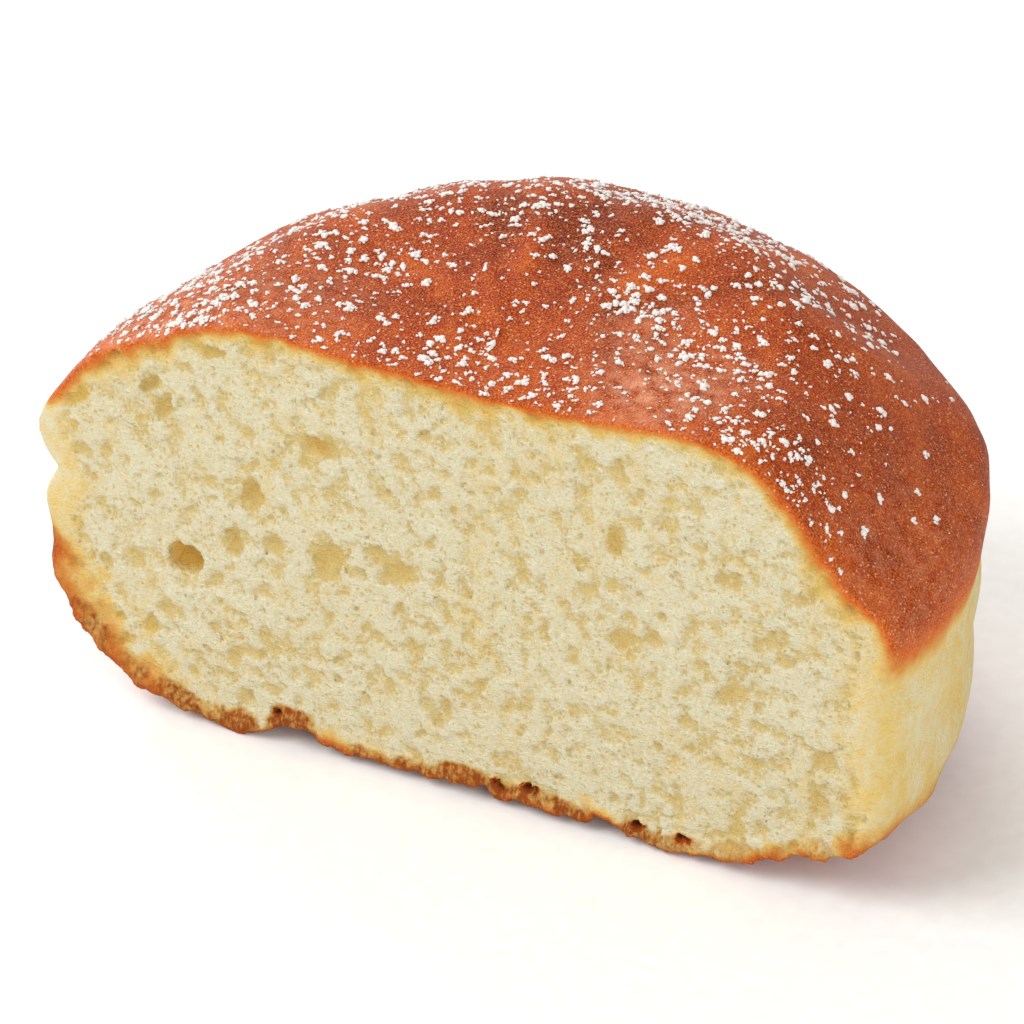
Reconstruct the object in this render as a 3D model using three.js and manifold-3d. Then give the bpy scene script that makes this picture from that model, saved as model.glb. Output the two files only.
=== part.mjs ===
import * as THREE from "three";
import { mergeVertices } from "three/addons/utils/BufferGeometryUtils.js";
import Module from "manifold-3d";

const wasm = await Module();
wasm.setup();

// A round fried beignet, cut upright in front of its middle. The larger piece lies on its base.
// Millimetres. The bun's own axis is upright, and the cut face looks towards -Y.
const PLAN_RADIUS = 46.4;
const PLAN_WAVES = [
  { turns: 1, cosine: -0.5, sine: 1.5 },
  { turns: 2, cosine: -0.5, sine: 1.0 },
  { turns: 3, cosine: 0.7, sine: -0.4 },
];
const HEART_HEIGHT = 19.2;
const DOME_RISE = 27.4;
const DOME_LEAN_BACK = 0.6;
const DOME_POWER = 3.2;
const BASE_DEPTH = 20.4;
const BASE_POWER = 3.4;
const CUT_AHEAD = 8.6;

// The top is flat inside a rounded shoulder, and a low crown stands behind the cut.
const SHOULDER_SWELL = 2.2;
const SHOULDER_RADIUS = 25;
const SHOULDER_WIDTH = 7;
const CROWN_SWELL = 1.7;
const CROWN_Y = 15;
const CROWN_WIDTH = 16;

// The pale collar, where the bun floated in the fat: a shallow groove under a soft lip,
// which climbs to the right.
const GROOVE_HEIGHT = 24.6;
const GROOVE_DEPTH = 0.85;
const GROOVE_WIDTH = 2.7;
const LIP_ABOVE = 8.2;
const LIP_CLIMB = 2.6;
const LIP_SWELL = 0.9;
const LIP_WIDTH = 4.4;

// The right side by height: its brow sinks towards the cut, and its collar tucks in over a fuller foot.
const RIGHT_SLUMP = { height: 36, width: 4.6, out: -7.5 };
const RIGHT_SWELLS = [
  { height: 34, width: 4, out: 2.7 },
  { height: 16.6, width: 4.6, out: -1.1 },
  { height: 4, width: 4, out: 1 },
];

// The left side by height: full above and below the groove, over a foot that tucks in.
const LEFT_SWELLS = [
  { height: 29.5, width: 4, out: 0.85 },
  { height: 25.2, width: 1, out: -0.45 },
  { height: 21.5, width: 3, out: 0.8 },
  { height: 13, width: 2.5, out: 0.4 },
  { height: 6, width: 4.5, out: -1.4 },
];

// Broad lumps and hollows of the dome: turn about the axis in radians, height, and a width of each.
const DOME_SWELLS = [
  { turn: 0.75, spread: 0.5, height: 37.8, width: 6, out: -1.2 },
  { turn: -0.3, spread: 0.5, height: 45.5, width: 2.5, out: 0.75 },
  { turn: 2.5, spread: 0.45, height: 42, width: 5, out: -0.5 },
  { turn: 2.13, spread: 0.22, height: 43, width: 5, out: 0.9 },
];

// Low swells of the risen dome, and the wrinkles of the fried underside.
const DOME_LUMP = 0.3;
const WRINKLE = 0.42;
const WRINKLE_TOP = 11;

// The underside is flat at the back. Along the cut it lifts off the table, save for low bulges with
// a notch beside each, and it curls up towards its right end.
const EDGE_LIFT = 1.2;
const EDGE_REACH = 7;
const EDGE_WRINKLE = 0.12;
const FOOT_SWELLS = [
  { x: -27.9, width: 5.8, lift: -2.3 },
  { x: -20.9, width: 2.9, lift: 2 },
  { x: 1.7, width: 3, lift: 0.65 },
  { x: 4.4, width: 0.75, lift: -0.75 },
  { x: 16.6, width: 1.5, lift: 1.3 },
  { x: 21.9, width: 3.9, lift: -0.7 },
];
const CURL_FROM_X = 29.5;
const CURL_TO_X = 56;
const CURL = 0.21;
const FLAT_BELOW = 0.1;

// The fried edge under the cut rolls up in lobes, larger towards the left.
const LOBE_FROM_X = -42;
const LOBE_TO_X = 38;
const LOBE_STEP = 2.4;
const LOBE_SPREAD = 1.4;
const LOBE_RADIUS = 0.6;
const LOBE_VARIES = 0.4;
const LOBE_GROWS_LEFT = 0.4;
const LOBE_SEAT = 0.7;
const LOBE_STRETCH = 1.3;
const LOBE_STRETCH_VARIES = 0.7;
const LOBE_BACK = 0.25;
const LOBE_BACK_VARIES = 0.35;

// The largest bubbles that the knife opened: place on the cut, half length, half width, lean in degrees.
const OPEN_BUBBLES = [
  { x: -29.9, z: 18.8, long: 1.9, wide: 1.6, lean: 10 },
  { x: -14.2, z: 22.7, long: 2.2, wide: 1.3, lean: 65 },
  { x: -15.4, z: 35.6, long: 1.5, wide: 1.1, lean: 5 },
  { x: -22.5, z: 28.5, long: 1.7, wide: 1.0, lean: 80 },
  { x: -6.6, z: 23.8, long: 1.6, wide: 1.1, lean: 10 },
  { x: -24.7, z: 22.2, long: 1.7, wide: 0.8, lean: 85 },
  { x: -9.0, z: 25.5, long: 1.1, wide: 0.9, lean: 0 },
  { x: -31.9, z: 35.8, long: 1.4, wide: 0.8, lean: 70 },
  { x: -33.4, z: 37.8, long: 1.3, wide: 0.7, lean: 40 },
  { x: -26.6, z: 43.4, long: 1.4, wide: 0.7, lean: 5 },
  { x: -35.8, z: 17.3, long: 1.0, wide: 0.8, lean: 60 },
  { x: -20.3, z: 23.1, long: 1.1, wide: 0.8, lean: 30 },
  { x: 15.9, z: 34.3, long: 1.3, wide: 0.9, lean: 75 },
  { x: 16.6, z: 23.3, long: 1.3, wide: 0.8, lean: 10 },
  { x: 28.2, z: 20.7, long: 1.3, wide: 0.8, lean: 35 },
  { x: 38.0, z: 15.7, long: 1.2, wide: 0.8, lean: 20 },
];
const SMALL_BUBBLES = 40;
const SMALL_BUBBLE_MIN = 0.5;
const SMALL_BUBBLE_MAX = 0.95;
const BUBBLE_CLEAR_OF_CRUST = 2.6;

// Clumps of powdered sugar, thickest over the top and the back of the dome.
const SUGAR_CLUMPS = 80;
const SUGAR_MIN = 0.5;
const SUGAR_MAX = 0.8;
const SUGAR_FROM_HEIGHT = 35;
const SUGAR_SUNK = 0.3;

// The bun's axis stands behind and beside the middle of the piece that is left.
const AXIS_X = 0.43;
const AXIS_Y = -19.79;

const AROUND = 108;
const RINGS = 33;

// Evenly spread numbers from 0 to 1 that come out the same every time.
function seeded(seed) {
  let state = seed >>> 0;
  return () => {
    state = (state + 0x6d2b79f5) >>> 0;
    let t = Math.imul(state ^ (state >>> 15), 1 | state);
    t = (t + Math.imul(t ^ (t >>> 7), 61 | t)) ^ t;
    return ((t ^ (t >>> 14)) >>> 0) / 4294967296;
  };
}

function bell(at, middle, width) {
  return Math.exp(-(((at - middle) / width) ** 2));
}

function anyDirection(random) {
  const z = 2 * random() - 1;
  const turn = 2 * Math.PI * random();
  const flat = Math.sqrt(1 - z * z);
  return new THREE.Vector3(flat * Math.cos(turn), flat * Math.sin(turn), z);
}

// Plane waves in all directions, which add up to an uneven relief between about -1 and 1.
function waveSet(count, shortest, longest, seed) {
  const random = seeded(seed);
  return Array.from({ length: count }, () => {
    const length = shortest + (longest - shortest) * random();
    const way = anyDirection(random).multiplyScalar((2 * Math.PI) / length);
    return { way, phase: 2 * Math.PI * random() };
  });
}

function relief(waves, p) {
  let sum = 0;
  for (const wave of waves) {
    sum += Math.sin(wave.way.dot(p) + wave.phase);
  }
  return sum / Math.sqrt(waves.length);
}

const domeWaves = waveSet(7, 13, 30, 11);
const wrinkleWaves = waveSet(7, 5, 9, 23);
const sugarWaves = waveSet(6, 14, 34, 37);

// Height of the underside over the table at a point of the plan.
function undersideLift(x, y) {
  const nearCut = bell(y, -CUT_AHEAD, EDGE_REACH);
  let lift = EDGE_LIFT + EDGE_WRINKLE * relief(wrinkleWaves, new THREE.Vector3(x, y, 0));
  lift += CURL * Math.max(0, Math.min(x, CURL_TO_X) - CURL_FROM_X);
  for (const swell of FOOT_SWELLS) {
    lift += swell.lift * bell(x, swell.x, swell.width);
  }
  return Math.max(0, lift * nearCut - FLAT_BELOW);
}

// Distance from the bun's heart to its surface along a unit direction.
function bunRadius(d) {
  const flat = Math.hypot(d.x, d.y);
  const turn = Math.atan2(d.y, d.x);
  let plan = PLAN_RADIUS;
  for (const wave of PLAN_WAVES) {
    plan += wave.cosine * Math.cos(wave.turns * turn) + wave.sine * Math.sin(wave.turns * turn);
  }
  const rise = d.z > 0 ? DOME_RISE + DOME_LEAN_BACK * d.y : BASE_DEPTH;
  const power = d.z > 0 ? DOME_POWER : BASE_POWER;
  const upper = THREE.MathUtils.clamp(d.z, 0, 1);
  let r = ((flat / plan) ** power + (Math.abs(d.z) / rise) ** power) ** (-1 / power);
  r += SHOULDER_SWELL * bell(r * flat, SHOULDER_RADIUS, SHOULDER_WIDTH) * Math.min(1, 2 * upper);
  const p = d.clone().multiplyScalar(r);
  const height = HEART_HEIGHT + p.z;
  r -= flat * GROOVE_DEPTH * bell(height, GROOVE_HEIGHT, GROOVE_WIDTH);
  r += flat * LIP_SWELL * bell(height, GROOVE_HEIGHT + LIP_ABOVE + LIP_CLIMB * d.x, LIP_WIDTH);
  r += CROWN_SWELL * bell(Math.hypot(p.x, p.y - CROWN_Y), 0, CROWN_WIDTH) * upper;
  r += DOME_LUMP * relief(domeWaves, p) * THREE.MathUtils.smoothstep(height, 8, 30);
  r += WRINKLE * relief(wrinkleWaves, p) * (1 - THREE.MathUtils.smoothstep(height, 4, WRINKLE_TOP));
  const level = HEART_HEIGHT + r * d.z;
  const right = flat * THREE.MathUtils.smoothstep(d.x, 0.45, 0.95);
  const left = flat * THREE.MathUtils.smoothstep(-d.x, 0.45, 0.95);
  const towardsCut = THREE.MathUtils.clamp(0.5 - 0.6 * d.y, 0.2, 1);
  let out = RIGHT_SLUMP.out * towardsCut * right * bell(level, RIGHT_SLUMP.height, RIGHT_SLUMP.width);
  for (const swell of RIGHT_SWELLS) {
    out += swell.out * right * bell(level, swell.height, swell.width);
  }
  for (const swell of LEFT_SWELLS) {
    out += swell.out * left * bell(level, swell.height, swell.width);
  }
  for (const swell of DOME_SWELLS) {
    out += swell.out * bell(turn, swell.turn, swell.spread) * bell(level, swell.height, swell.width);
  }
  r += out;
  if (d.z < 0) {
    const down = HEART_HEIGHT / -d.z;
    r = Math.min(r, (HEART_HEIGHT - undersideLift(down * d.x, down * d.y)) / -d.z);
  }
  return r;
}

function surfacePoint(d) {
  const p = d.clone().multiplyScalar(bunRadius(d));
  p.z += HEART_HEIGHT;
  return p;
}

function solidOf(geometry) {
  geometry.deleteAttribute("normal");
  geometry.deleteAttribute("uv");
  const welded = mergeVertices(geometry, 1e-5);
  const mesh = new wasm.Mesh({
    numProp: 3,
    vertProperties: new Float32Array(welded.attributes.position.array),
    triVerts: new Uint32Array(welded.index.array),
  });
  return new wasm.Manifold(mesh);
}

function wholeBun() {
  const geometry = new THREE.SphereGeometry(1, AROUND, RINGS);
  const spots = geometry.attributes.position;
  const d = new THREE.Vector3();
  for (let i = 0; i < spots.count; i += 1) {
    d.fromBufferAttribute(spots, i).normalize();
    const p = surfacePoint(d);
    spots.setXYZ(i, p.x, p.y, p.z);
  }
  return solidOf(geometry);
}

function cutAwayFront() {
  const depth = 100;
  const block = new THREE.BoxGeometry(200, depth, 200);
  block.translate(0, -CUT_AHEAD - depth / 2, 0);
  return solidOf(block);
}

// An opened bubble: a rounded hollow with its middle a little behind the cut.
function bubble(x, z, long, wide, lean, detail) {
  const geometry = new THREE.IcosahedronGeometry(1, detail);
  geometry.scale(long, 0.9 * wide, wide);
  geometry.rotateY(-THREE.MathUtils.degToRad(lean));
  geometry.translate(x, -CUT_AHEAD + 0.15 * wide, z);
  return solidOf(geometry);
}

// How far a point of the cut face lies inside the crust, measured towards the bun's heart.
function depthInCut(x, z) {
  const p = new THREE.Vector3(x, -CUT_AHEAD, z - HEART_HEIGHT);
  const reach = p.length();
  return bunRadius(p.divideScalar(reach)) - reach;
}

// Height at which the cut meets the underside.
function underEdge(x) {
  let low = -1;
  let high = HEART_HEIGHT;
  for (let i = 0; i < 30; i += 1) {
    const z = (low + high) / 2;
    if (depthInCut(x, z) > 0) {
      high = z;
    } else {
      low = z;
    }
  }
  return high;
}

function edgeLobes() {
  const random = seeded(15);
  const found = [];
  for (let at = LOBE_FROM_X; at < LOBE_TO_X; at += LOBE_STEP) {
    const x = at + LOBE_SPREAD * (random() - 0.5);
    const grown = LOBE_GROWS_LEFT * THREE.MathUtils.smoothstep(-x, 8, 34);
    const radius = LOBE_RADIUS + LOBE_VARIES * random() + grown;
    const long = radius * (LOBE_STRETCH + LOBE_STRETCH_VARIES * random());
    const back = LOBE_BACK + LOBE_BACK_VARIES * random();
    const lean = Math.atan2(underEdge(x + radius) - underEdge(x - radius), 2 * radius);
    const seat = LOBE_SEAT * radius;
    const geometry = new THREE.IcosahedronGeometry(1, 0);
    geometry.scale(long, radius, radius);
    geometry.rotateY(-lean);
    geometry.translate(x - seat * Math.sin(lean), -CUT_AHEAD + back, underEdge(x) + seat * Math.cos(lean));
    found.push(solidOf(geometry));
  }
  return found;
}

function smallBubbles() {
  const random = seeded(5);
  const taken = OPEN_BUBBLES.map((b) => ({ x: b.x, z: b.z, size: b.long }));
  const found = [];
  while (found.length < SMALL_BUBBLES) {
    const x = (2 * random() - 1) * PLAN_RADIUS;
    const z = 2 * random() * HEART_HEIGHT * 1.25;
    const size = SMALL_BUBBLE_MIN + (SMALL_BUBBLE_MAX - SMALL_BUBBLE_MIN) * random() ** 2;
    const lean = 180 * random();
    const clear = taken.every((t) => Math.hypot(t.x - x, t.z - z) > t.size + size + 0.8);
    if (clear && depthInCut(x, z) > BUBBLE_CLEAR_OF_CRUST) {
      taken.push({ x, z, size });
      found.push(bubble(x, z, size, 0.7 * size, lean, 0));
    }
  }
  return found;
}

// How likely sugar lies at a point: more on top and at the back, in uneven drifts.
function sugarChance(p) {
  const high = THREE.MathUtils.smoothstep(p.z, SUGAR_FROM_HEIGHT, 45);
  const back = THREE.MathUtils.clamp(0.45 + p.y / 50, 0.2, 1);
  return high * back * THREE.MathUtils.clamp(0.6 + 0.5 * relief(sugarWaves, p), 0.1, 1);
}

function sugarClumps() {
  const random = seeded(71);
  const taken = [];
  const found = [];
  while (found.length < SUGAR_CLUMPS) {
    const d = anyDirection(random);
    const chance = random();
    const share = random();
    const turn = 2 * Math.PI * random();
    const p = surfacePoint(d);
    const size = SUGAR_MAX - (SUGAR_MAX - SUGAR_MIN) * share;
    const clear = taken.every((t) => t.distanceTo(p) > 2.2);
    if (clear && p.y > 2 - CUT_AHEAD && chance < sugarChance(p)) {
      taken.push(p);
      const geometry = new THREE.IcosahedronGeometry(size, 0);
      geometry.rotateZ(turn);
      geometry.rotateX(turn);
      geometry.scale(1, 0.9, 0.8);
      const seat = p.clone().addScaledVector(d, -SUGAR_SUNK * size);
      geometry.translate(seat.x, seat.y, seat.z);
      found.push(solidOf(geometry));
    }
  }
  return found;
}

let body = wholeBun().subtract(cutAwayFront());
for (const lobe of edgeLobes()) {
  body = body.add(lobe);
}
body = body.trimByPlane([0, 0, 1], 0);
for (const b of OPEN_BUBBLES) {
  body = body.subtract(bubble(b.x, b.z, b.long, b.wide, b.lean, 1));
}
for (const hollow of smallBubbles()) {
  body = body.subtract(hollow);
}
for (const clump of sugarClumps()) {
  body = body.add(clump);
}

const faces = body.getMesh();
const geometry = new THREE.BufferGeometry();
geometry.setAttribute("position", new THREE.BufferAttribute(new Float32Array(faces.vertProperties), 3));
geometry.setIndex(new THREE.BufferAttribute(new Uint32Array(faces.triVerts), 1));
geometry.translate(AXIS_X, AXIS_Y, 0);
geometry.computeVertexNormals();

const beignet = new THREE.Mesh(geometry, new THREE.MeshStandardMaterial({ color: 0xc06a3a, roughness: 0.7 }));
beignet.name = "beignet";
const part = new THREE.Group();
part.name = "cut_beignet";
part.add(beignet);

export default part;
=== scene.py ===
import math
from functools import partial

import bmesh
import bpy
import numpy as np
import openvdb
from bpy.props import FloatProperty, FloatVectorProperty, IntProperty, PointerProperty
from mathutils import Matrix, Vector


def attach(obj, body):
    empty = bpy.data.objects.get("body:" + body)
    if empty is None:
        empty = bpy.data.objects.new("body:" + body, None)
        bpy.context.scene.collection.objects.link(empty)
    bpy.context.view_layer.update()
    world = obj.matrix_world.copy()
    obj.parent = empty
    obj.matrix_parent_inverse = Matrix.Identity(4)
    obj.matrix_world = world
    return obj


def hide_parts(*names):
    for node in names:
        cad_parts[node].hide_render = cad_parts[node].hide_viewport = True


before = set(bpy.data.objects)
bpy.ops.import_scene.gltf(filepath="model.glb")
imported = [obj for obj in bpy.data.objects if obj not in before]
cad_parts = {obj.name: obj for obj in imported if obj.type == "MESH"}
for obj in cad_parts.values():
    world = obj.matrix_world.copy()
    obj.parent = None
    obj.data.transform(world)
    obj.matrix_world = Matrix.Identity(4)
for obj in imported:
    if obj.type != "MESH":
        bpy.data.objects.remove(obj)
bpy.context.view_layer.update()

bl_info = {
    "name": "Cut Beignet",
    "version": (1, 0, 0),
    "blender": (4, 5, 0),
    "location": "View3D > Sidebar > Beignet",
    "description": "Builds a cut beignet with its crust, crumb and sugar, and the stage it lies on",
    "category": "Object",
}

NODE = "beignet"
BODY = "root"
MM = 0.001

# Form of the bun in millimetres, from the same rules as its solid.
# Where the bun's own axis stands in the part's frame.
AXIS = np.array([0.43, -19.79, 0.0])
# Slow departures of the plan from a circle: turns, cosine and sine.
PLAN_WAVES = ((1, -0.5, 1.5), (2, -0.5, 1.0), (3, 0.7, -0.4))
DOME_LEAN_BACK = 0.6
DOME_POWER = 3.2
BASE_DEPTH = 20.4
BASE_POWER = 3.4
SHOULDER_SWELL, SHOULDER_RADIUS, SHOULDER_WIDTH = 2.2, 25.0, 7.0
CROWN_SWELL, CROWN_Y, CROWN_WIDTH = 1.7, 15.0, 16.0
GROOVE_HEIGHT, GROOVE_DEPTH, GROOVE_WIDTH = 24.6, 0.85, 2.7
LIP_ABOVE, LIP_CLIMB, LIP_SWELL, LIP_WIDTH = 8.2, 2.6, 0.9, 4.4
# How far a direction points to one side where that side's own swells set in, and where they are full.
SIDES = (0.45, 0.95)
# The right side by height, width and swell: its brow sinks at the cut, over a tucked collar and a full foot.
RIGHT_SLUMP = (36.0, 4.6, -7.5)
RIGHT_SWELLS = ((34.0, 4.0, 2.7), (16.6, 4.6, -1.1), (4.0, 4.0, 1.0))
# The left side by height, width and swell: full above and below the groove, over a foot that tucks in.
LEFT_SWELLS = ((29.5, 4.0, 0.85), (25.2, 1.0, -0.45), (21.5, 3.0, 0.8), (13.0, 2.5, 0.4), (6.0, 4.5, -1.4))
# Broad lumps and hollows of the dome: turn and its spread in radians, height and its width, and swell.
DOME_SWELLS = ((0.75, 0.5, 37.8, 6.0, -1.2), (-0.3, 0.5, 45.5, 2.5, 0.75), (2.5, 0.45, 42.0, 5.0, -0.5),
               (2.13, 0.22, 43.0, 5.0, 0.9))
# Shallow pleats that run down the dome from its top: turn, spread and height.
PLEATS = ((0.6, 0.08, 0.2), (0.82, 0.07, -0.3), (1.08, 0.08, 0.3), (1.32, 0.08, -0.25), (1.62, 0.08, -0.35),
          (1.84, 0.07, 0.25), (2.02, 0.07, -0.3), (2.3, 0.07, -0.25), (2.55, 0.08, 0.2))
PLEAT_RADII, PLEAT_HEIGHTS = (5, 15), (36, 42)
DOME_LUMP, DIMPLE, DOME_LUMP_HEIGHTS = 0.3, 0.07, (8, 30)
WRINKLE, WRINKLE_HEIGHTS = 0.42, (4, 11.0)
FOLD, FOLD_HEIGHTS = 0.24, (2, 7.0)
EDGE_LIFT, EDGE_REACH, EDGE_WRINKLE, FLAT_BELOW = 1.2, 7.0, 0.12, 0.1
CURL_FROM_X, CURL_TO_X, CURL = 29.5, 56.0, 0.21
# Low bulges and notches of the foot along the cut: x, width and lift.
FOOT_SWELLS = ((-27.9, 5.8, -2.3), (-20.9, 2.9, 2.0), (1.7, 3.0, 0.65), (4.4, 0.75, -0.75), (16.6, 1.5, 1.3),
               (21.9, 3.9, -0.7))

# The largest opened bubbles: x, z, half length, half width, lean in degrees and share of full depth.
OPEN_BUBBLES = (
    (-29.9, 18.8, 1.9, 1.6, 10, 1.0),
    (-14.2, 22.7, 2.2, 1.3, 65, 0.45),
    (-15.4, 35.6, 1.5, 1.1, 5, 0.75),
    (-22.5, 28.5, 1.7, 1.0, 80, 0.75),
    (-6.6, 23.8, 1.6, 1.1, 10, 0.6),
    (-24.7, 22.2, 1.7, 0.8, 85, 0.9),
    (-9.0, 25.5, 1.1, 0.9, 0, 0.5),
    (-31.9, 35.8, 1.4, 0.8, 70, 0.8),
    (-33.4, 37.8, 1.3, 0.7, 40, 1.0),
    (-26.6, 43.4, 1.4, 0.7, 5, 0.7),
    (-35.8, 17.3, 1.0, 0.8, 60, 0.5),
    (-20.3, 23.1, 1.1, 0.8, 30, 0.5),
    (15.9, 34.3, 1.3, 0.9, 75, 0.7),
    (16.6, 23.3, 1.3, 0.8, 10, 0.6),
    (28.2, 20.7, 1.3, 0.8, 35, 0.5),
    (38.0, 15.7, 1.2, 0.8, 20, 0.5),
)
SMALL_BUBBLES, SMALL_BUBBLE_MIN, SMALL_BUBBLE_MAX = 40, 0.5, 0.95
SMALL_BUBBLE_WIDTH, SMALL_BUBBLE_SHARE = 0.7, 0.6
BUBBLE_CLEAR_OF_CRUST, BUBBLE_CLEAR_OF_BUBBLE = 2.6, 0.8
# A fine bubble's half length, and how much room the crust and the smooth ends of the cut leave it.
FINE_MIN, FINE_SPREAD, FINE_POWER = 0.15, 0.5, 3.5
FINE_CLEAR, FINE_CLEAR_AT_END, FINE_CLEAR_OF_LOBE = 0.7, 3.2, 0.5
# Bubbles this near the crust were drawn out along it as the dough rose.
DRAWN_OUT_BELOW = 7
# Deep holes torn just above the fried edge.
EDGE_PITS_X = (-20.3, 3.6, 4.3, 7.0, 7.8, 18.4, 19.2, 23.6, 24.4)
EDGE_PIT_DEPTH, EDGE_PIT_FLATNESS = 0.6, 0.4

# The front slab, which holds the opened crumb: depth behind the knife, room around it, and top.
SLAB_DEPTH, SLAB_BESIDE, SLAB_BEFORE, SLAB_UNDER, SLAB_TOP = 4.2, 1.5, 1.9, 0.8, 49.6
# The distance to the crust is about this share of the distance along a ray to the heart.
RAY_SHARE = 0.85
# Noise of the torn crumb: spacing of its knots and seed.
TORN_NOISE = {"coarse": (2.2, 3), "middle": (0.8, 4), "fine": (0.42, 6), "ribs": ((0.6, 2.0, 2.4), 16)}
DUST_SEED = 9
# How high that noise stands on the cut, on the rolled edge and on the walls of the bubbles.
CUT_RELIEF = {"coarse": 0.1, "middle": 0.07, "fine": 0.05, "dust": 0.04}
LOBE_RELIEF = {"ribs": 0.22, "middle": 0.14, "fine": 0.12, "dust": 0.07}
PORE_RELIEF = {"middle": 0.08, "fine": 0.1, "dust": 0.06}
SMOOTH_END = 0.8
# Bubbles are bent sideways and upwards by noise: spacing and strength, with the seeds of each.
PORE_BEND = ((0.9, 0.22), (0.45, 0.2))
PORE_BEND_SEEDS = ((12, 13), (14, 15))
PORE_SHARPNESS = 7.0
# Corner where the cut turns into the crust: tight at the browned edges, wide at the pale ends.
CORNER, CORNER_RIGHT, CORNER_LEFT, CORNER_ENDS, CORNER_HEIGHTS = 0.35, 3.2, 1.6, (36, 44), (19, 8)
COLLAR_ENDS, COLLAR_HEIGHTS = (35, 42), (22, 9)
# Lobes of the fried edge, which rolled up along the underside.
LOBES_FROM_X, LOBES_TO_X, LOBE_STEP, LOBE_SPREAD, LOBE_BLEND = -42.0, 38.0, 2.4, 1.4, 0.6
LOBE_RADIUS, LOBE_VARIES, LOBE_GROWS_LEFT, LOBE_SEAT = 0.6, 0.4, 0.4, 0.7
# Points and rings of the crust behind the slab, and the most triangles that the bun may have.
AROUND, RINGS = 400, 96
BUN_TRIANGLES = 196000

# Browning runs from 0, raw, to 1, darkest. The browned dome ends, and the browned underside begins, on planes
# that fall towards the right. Each fades over a range of heights, which is another at the left end.
CROWN_BORDER, CROWN_FALL, CROWN_FADE, CROWN_FADE_LEFT = 28.6, 0.06, (-3.5, 6), (3.2, -3.5)
UNDER_BORDER, UNDER_FALL, UNDER_FADE, UNDER_FADE_LEFT = 13.5, 0.09, (-7, 3), (5, 1)
LEFT_END, RIGHT_END, PALER_FOOT = (24, 38), (26, 40), (18, 26)
# The collar browns evenly and at its left end. The dome browns evenly and less near the knife, is a little
# darker in its dimples' hollows, and its pleats are painted as shade in their valleys and highlight on their
# ridges.
# The underside browns evenly, at its left and right ends and by its dimples.
COLLAR_TAN, DOME_TAN_AND_SHADE, KNIFE_REACH = (0.08, 0.06), (0.8, -0.05, -0.16, -0.3), 2.4
UNDER_TAN = (0.62, -0.04, 0.06, 0.12)
YOLK_TAN, RIM_TAN, RIM_REACH, ROLL_TAN, PIT_TAN = 0.12, 0.16, 1.3, 0.27, 0.9
# How deep browning goes in millimetres: evenly, at the left and right ends, and in the underside's middle.
REACH, REACH_POWER, DOME_REACH = 0.15, 1.2, (0.85, 0.5, 0.5)
UNDER_REACH, UNDER_MIDDLE = (0.7, 2.4, 3.4, 0.4), (10, 8)
# Uneven frying of the dome: place, reach, and how much browner or paler it came out.
TAN_PATCHES = (((-1, 22, 48), 6, 0.23), ((-9, 18, 48), 4, 0.13), ((-4, 13, 48), 3, -0.1),
               ((38, 3, 41), 7, 0.05), ((9, 16, 48), 4, -0.12), ((45, 6, 34), 8, -0.08))
# Painted sheen on the dome, pinkish patches where it catches the light: place, reach and strength.
PAINTED_SHEEN_PATCHES = (((-34, -4, 43), 11, 0.55), ((-20, -2, 46), 7, 0.25), ((16.5, -2, 47.3), 5.5, 0.9),
                ((21, 2, 47), 6, 0.3), ((11, 8, 48), 5, 0.35), ((42, 0, 35), 12, 0.28))
FILM_OVERALL = 0.08

# Sugar: the largest clumps as the solid has them, and drifts of the rest by x, y, reach and how much more.
SUGAR_CLUMPS, SUGAR_MIN, SUGAR_MAX, SUGAR_SEED = 80, 0.5, 0.8, 71
SUGAR_FROM_HEIGHT, SUGAR_FULL_HEIGHT, SUGAR_APART, SUGAR_BEHIND_CUT = 35.0, 45, 2.2, 2
SUGAR_DRIFTS = (
    (14, 8, 6, 0.5), (21, 8, 5, 0.85), (8, -4, 5, 0.45), (27, -6, 3.5, 0.9), (12, 34, 12, 0.6),
    (31, -7, 3, 1.2), (35, -6, 3.5, 1.4), (38.5, -6.5, 3, 1.6), (32, 5, 5, -0.15), (-34, -2, 9, 2.1),
    (-18, 22, 10, 0.45), (-10, -1, 5, -0.2), (-4, 29, 6, 0.9), (5, 31, 6, 0.7))
SUGAR_FALL, SUGAR_SPARSE = 0.7, 0.3
CLUMP_MIN, CLUMP_SPREAD, CLUMP_POWER, CLUMP_SEED = 0.2, 0.36, 1.9, 19
# A clump is a core with lumps about it, more of them the larger it is, all pressed flat and sunk in.
SOLID_CLUMP_CORE, CLUMP_LUMPS, CLUMP_CORE, CLUMP_FLATNESS, CLUMP_RISE = 0.75, 7.3, 0.62, 0.35, 0.3
ROUND_LUMP_FROM = 0.3
SPECK_MIN, SPECK_SPREAD, SPECK_RISE, SPECK_SEED = 0.07, 0.08, 0.4, 29

# Stage in metres and watts: half the floor's side, the room's light, and softboxes by place, width and power.
FLOOR_HALF_SIDE = 3.0
ROOM_LIGHT = 0.57
LIT_POINT = (0, -0.005, 0.024)
SOFTBOXES = {
    "key_softbox": ((-0.7, -0.5, 0.85), 0.9, 9.8),
    "fill_softbox": ((0.8, -0.65, 0.4), 0.9, 5.2),
    "back_softbox": ((-0.75, 0.7, 0.55), 0.8, 8.0),
}
# The camera looks at the middle of the cut, whose place in the square picture is given in pixels.
AIM_HEIGHT = 0.024
AIM_PIXEL_X, AIM_PIXEL_Y, PICTURE_PIXELS, PIXELS_PER_MM = 461.1, 590.2, 1024, 10.489
VIEW_AZIMUTH, VIEW_ELEVATION, VIEW_DISTANCE = math.radians(26.145), math.radians(34.014), 0.598
SENSOR_WIDTH, NEAREST_SEEN = 36, 0.01


def linear(hex_code, *alpha):
    """The scene-linear red, green and blue of an sRGB hex value, with an alpha where one is given."""
    parts = [int(hex_code[i:i + 2], 16) / 255 for i in (0, 2, 4)]
    return (*(v / 12.92 if v <= 0.04045 else ((v + 0.055) / 1.055) ** 2.4 for v in parts), *alpha)


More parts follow.
